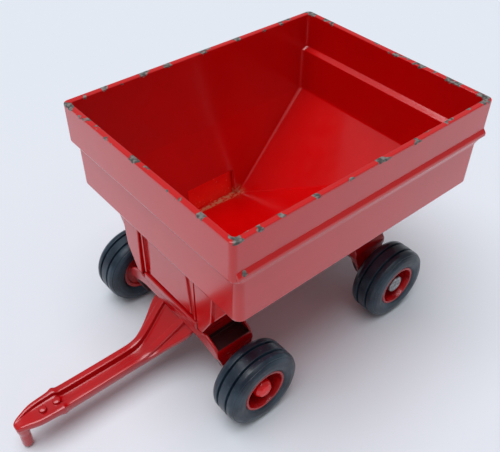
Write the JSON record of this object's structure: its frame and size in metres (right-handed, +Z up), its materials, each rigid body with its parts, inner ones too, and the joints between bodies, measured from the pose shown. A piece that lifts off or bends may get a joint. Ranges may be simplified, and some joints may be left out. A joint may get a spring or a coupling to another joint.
{
  "type": "gravity wagon",
  "caption": "Small die-cast gravity grain wagon with open hopper box, sloped floor to a sliding side gate, steered front axle with tongue and hitch pin, and rubber-tyred wheels.",
  "frame": {"origin": "on the ground plane, under the middle of the whole wagon's bounding box", "axes": "+X forward towards the tongue, +Y the wagon's left, +Z up; the discharge side is -Y"},
  "size_m": [0.072, 0.0388, 0.0395],
  "materials": {
    "red_paint": "gloss enamel over zinc casting",
    "red_plastic": "gloss moulded",
    "steel": "dull, peened ends",
    "tyre": "satin moulded rubber"
  },
  "bodies": {
    "wagon": {"hopper": "red_paint", "chassis": "red_paint", "king_pin": "steel", "king_washer": "steel", "rear_rivets": "steel", "rear_axle": "steel"},
    "steer": {"front_axle_tongue": "red_paint", "front_axle_rod": "steel", "front_cap_left": "red_plastic", "front_cap_right": "red_plastic"},
    "gate": {"discharge_gate": "red_plastic"},
    "wheel_front_left": {"rim_front_left": "red_plastic", "tyre_front_left": "tyre"},
    "wheel_front_right": {"rim_front_right": "red_plastic", "tyre_front_right": "tyre"},
    "wheel_rear_left": {"rim_rear_left": "red_plastic", "tyre_rear_left": "tyre"},
    "wheel_rear_right": {"rim_rear_right": "red_plastic", "tyre_rear_right": "tyre"}
  },
  "joints": [
    {"name": "steering", "type": "hinge", "parent": "wagon", "child": "steer", "pos_m": [0.00553, 0, 0.011], "axis": [0, 0, 1], "range_deg": [-15, 15]},
    {"name": "gate_slide", "type": "slide", "parent": "wagon", "child": "gate", "axis": [0, -0.0862, 0.9963], "range_m": [0, 0.0052]},
    {"name": "wheel_front_left_spin", "type": "hinge", "parent": "steer", "child": "wheel_front_left", "pos_m": [0.00553, 0.016, 0.00635], "axis": [0, 1, 0], "continuous": true},
    {"name": "wheel_front_right_spin", "type": "hinge", "parent": "steer", "child": "wheel_front_right", "pos_m": [0.00553, -0.016, 0.00635], "axis": [0, 1, 0], "continuous": true},
    {"name": "wheel_rear_left_spin", "type": "hinge", "parent": "wagon", "child": "wheel_rear_left", "pos_m": [-0.02538, 0.0144, 0.00635], "axis": [0, 1, 0], "continuous": true},
    {"name": "wheel_rear_right_spin", "type": "hinge", "parent": "wagon", "child": "wheel_rear_right", "pos_m": [-0.02538, -0.0144, 0.00635], "axis": [0, 1, 0], "continuous": true}
  ]
}
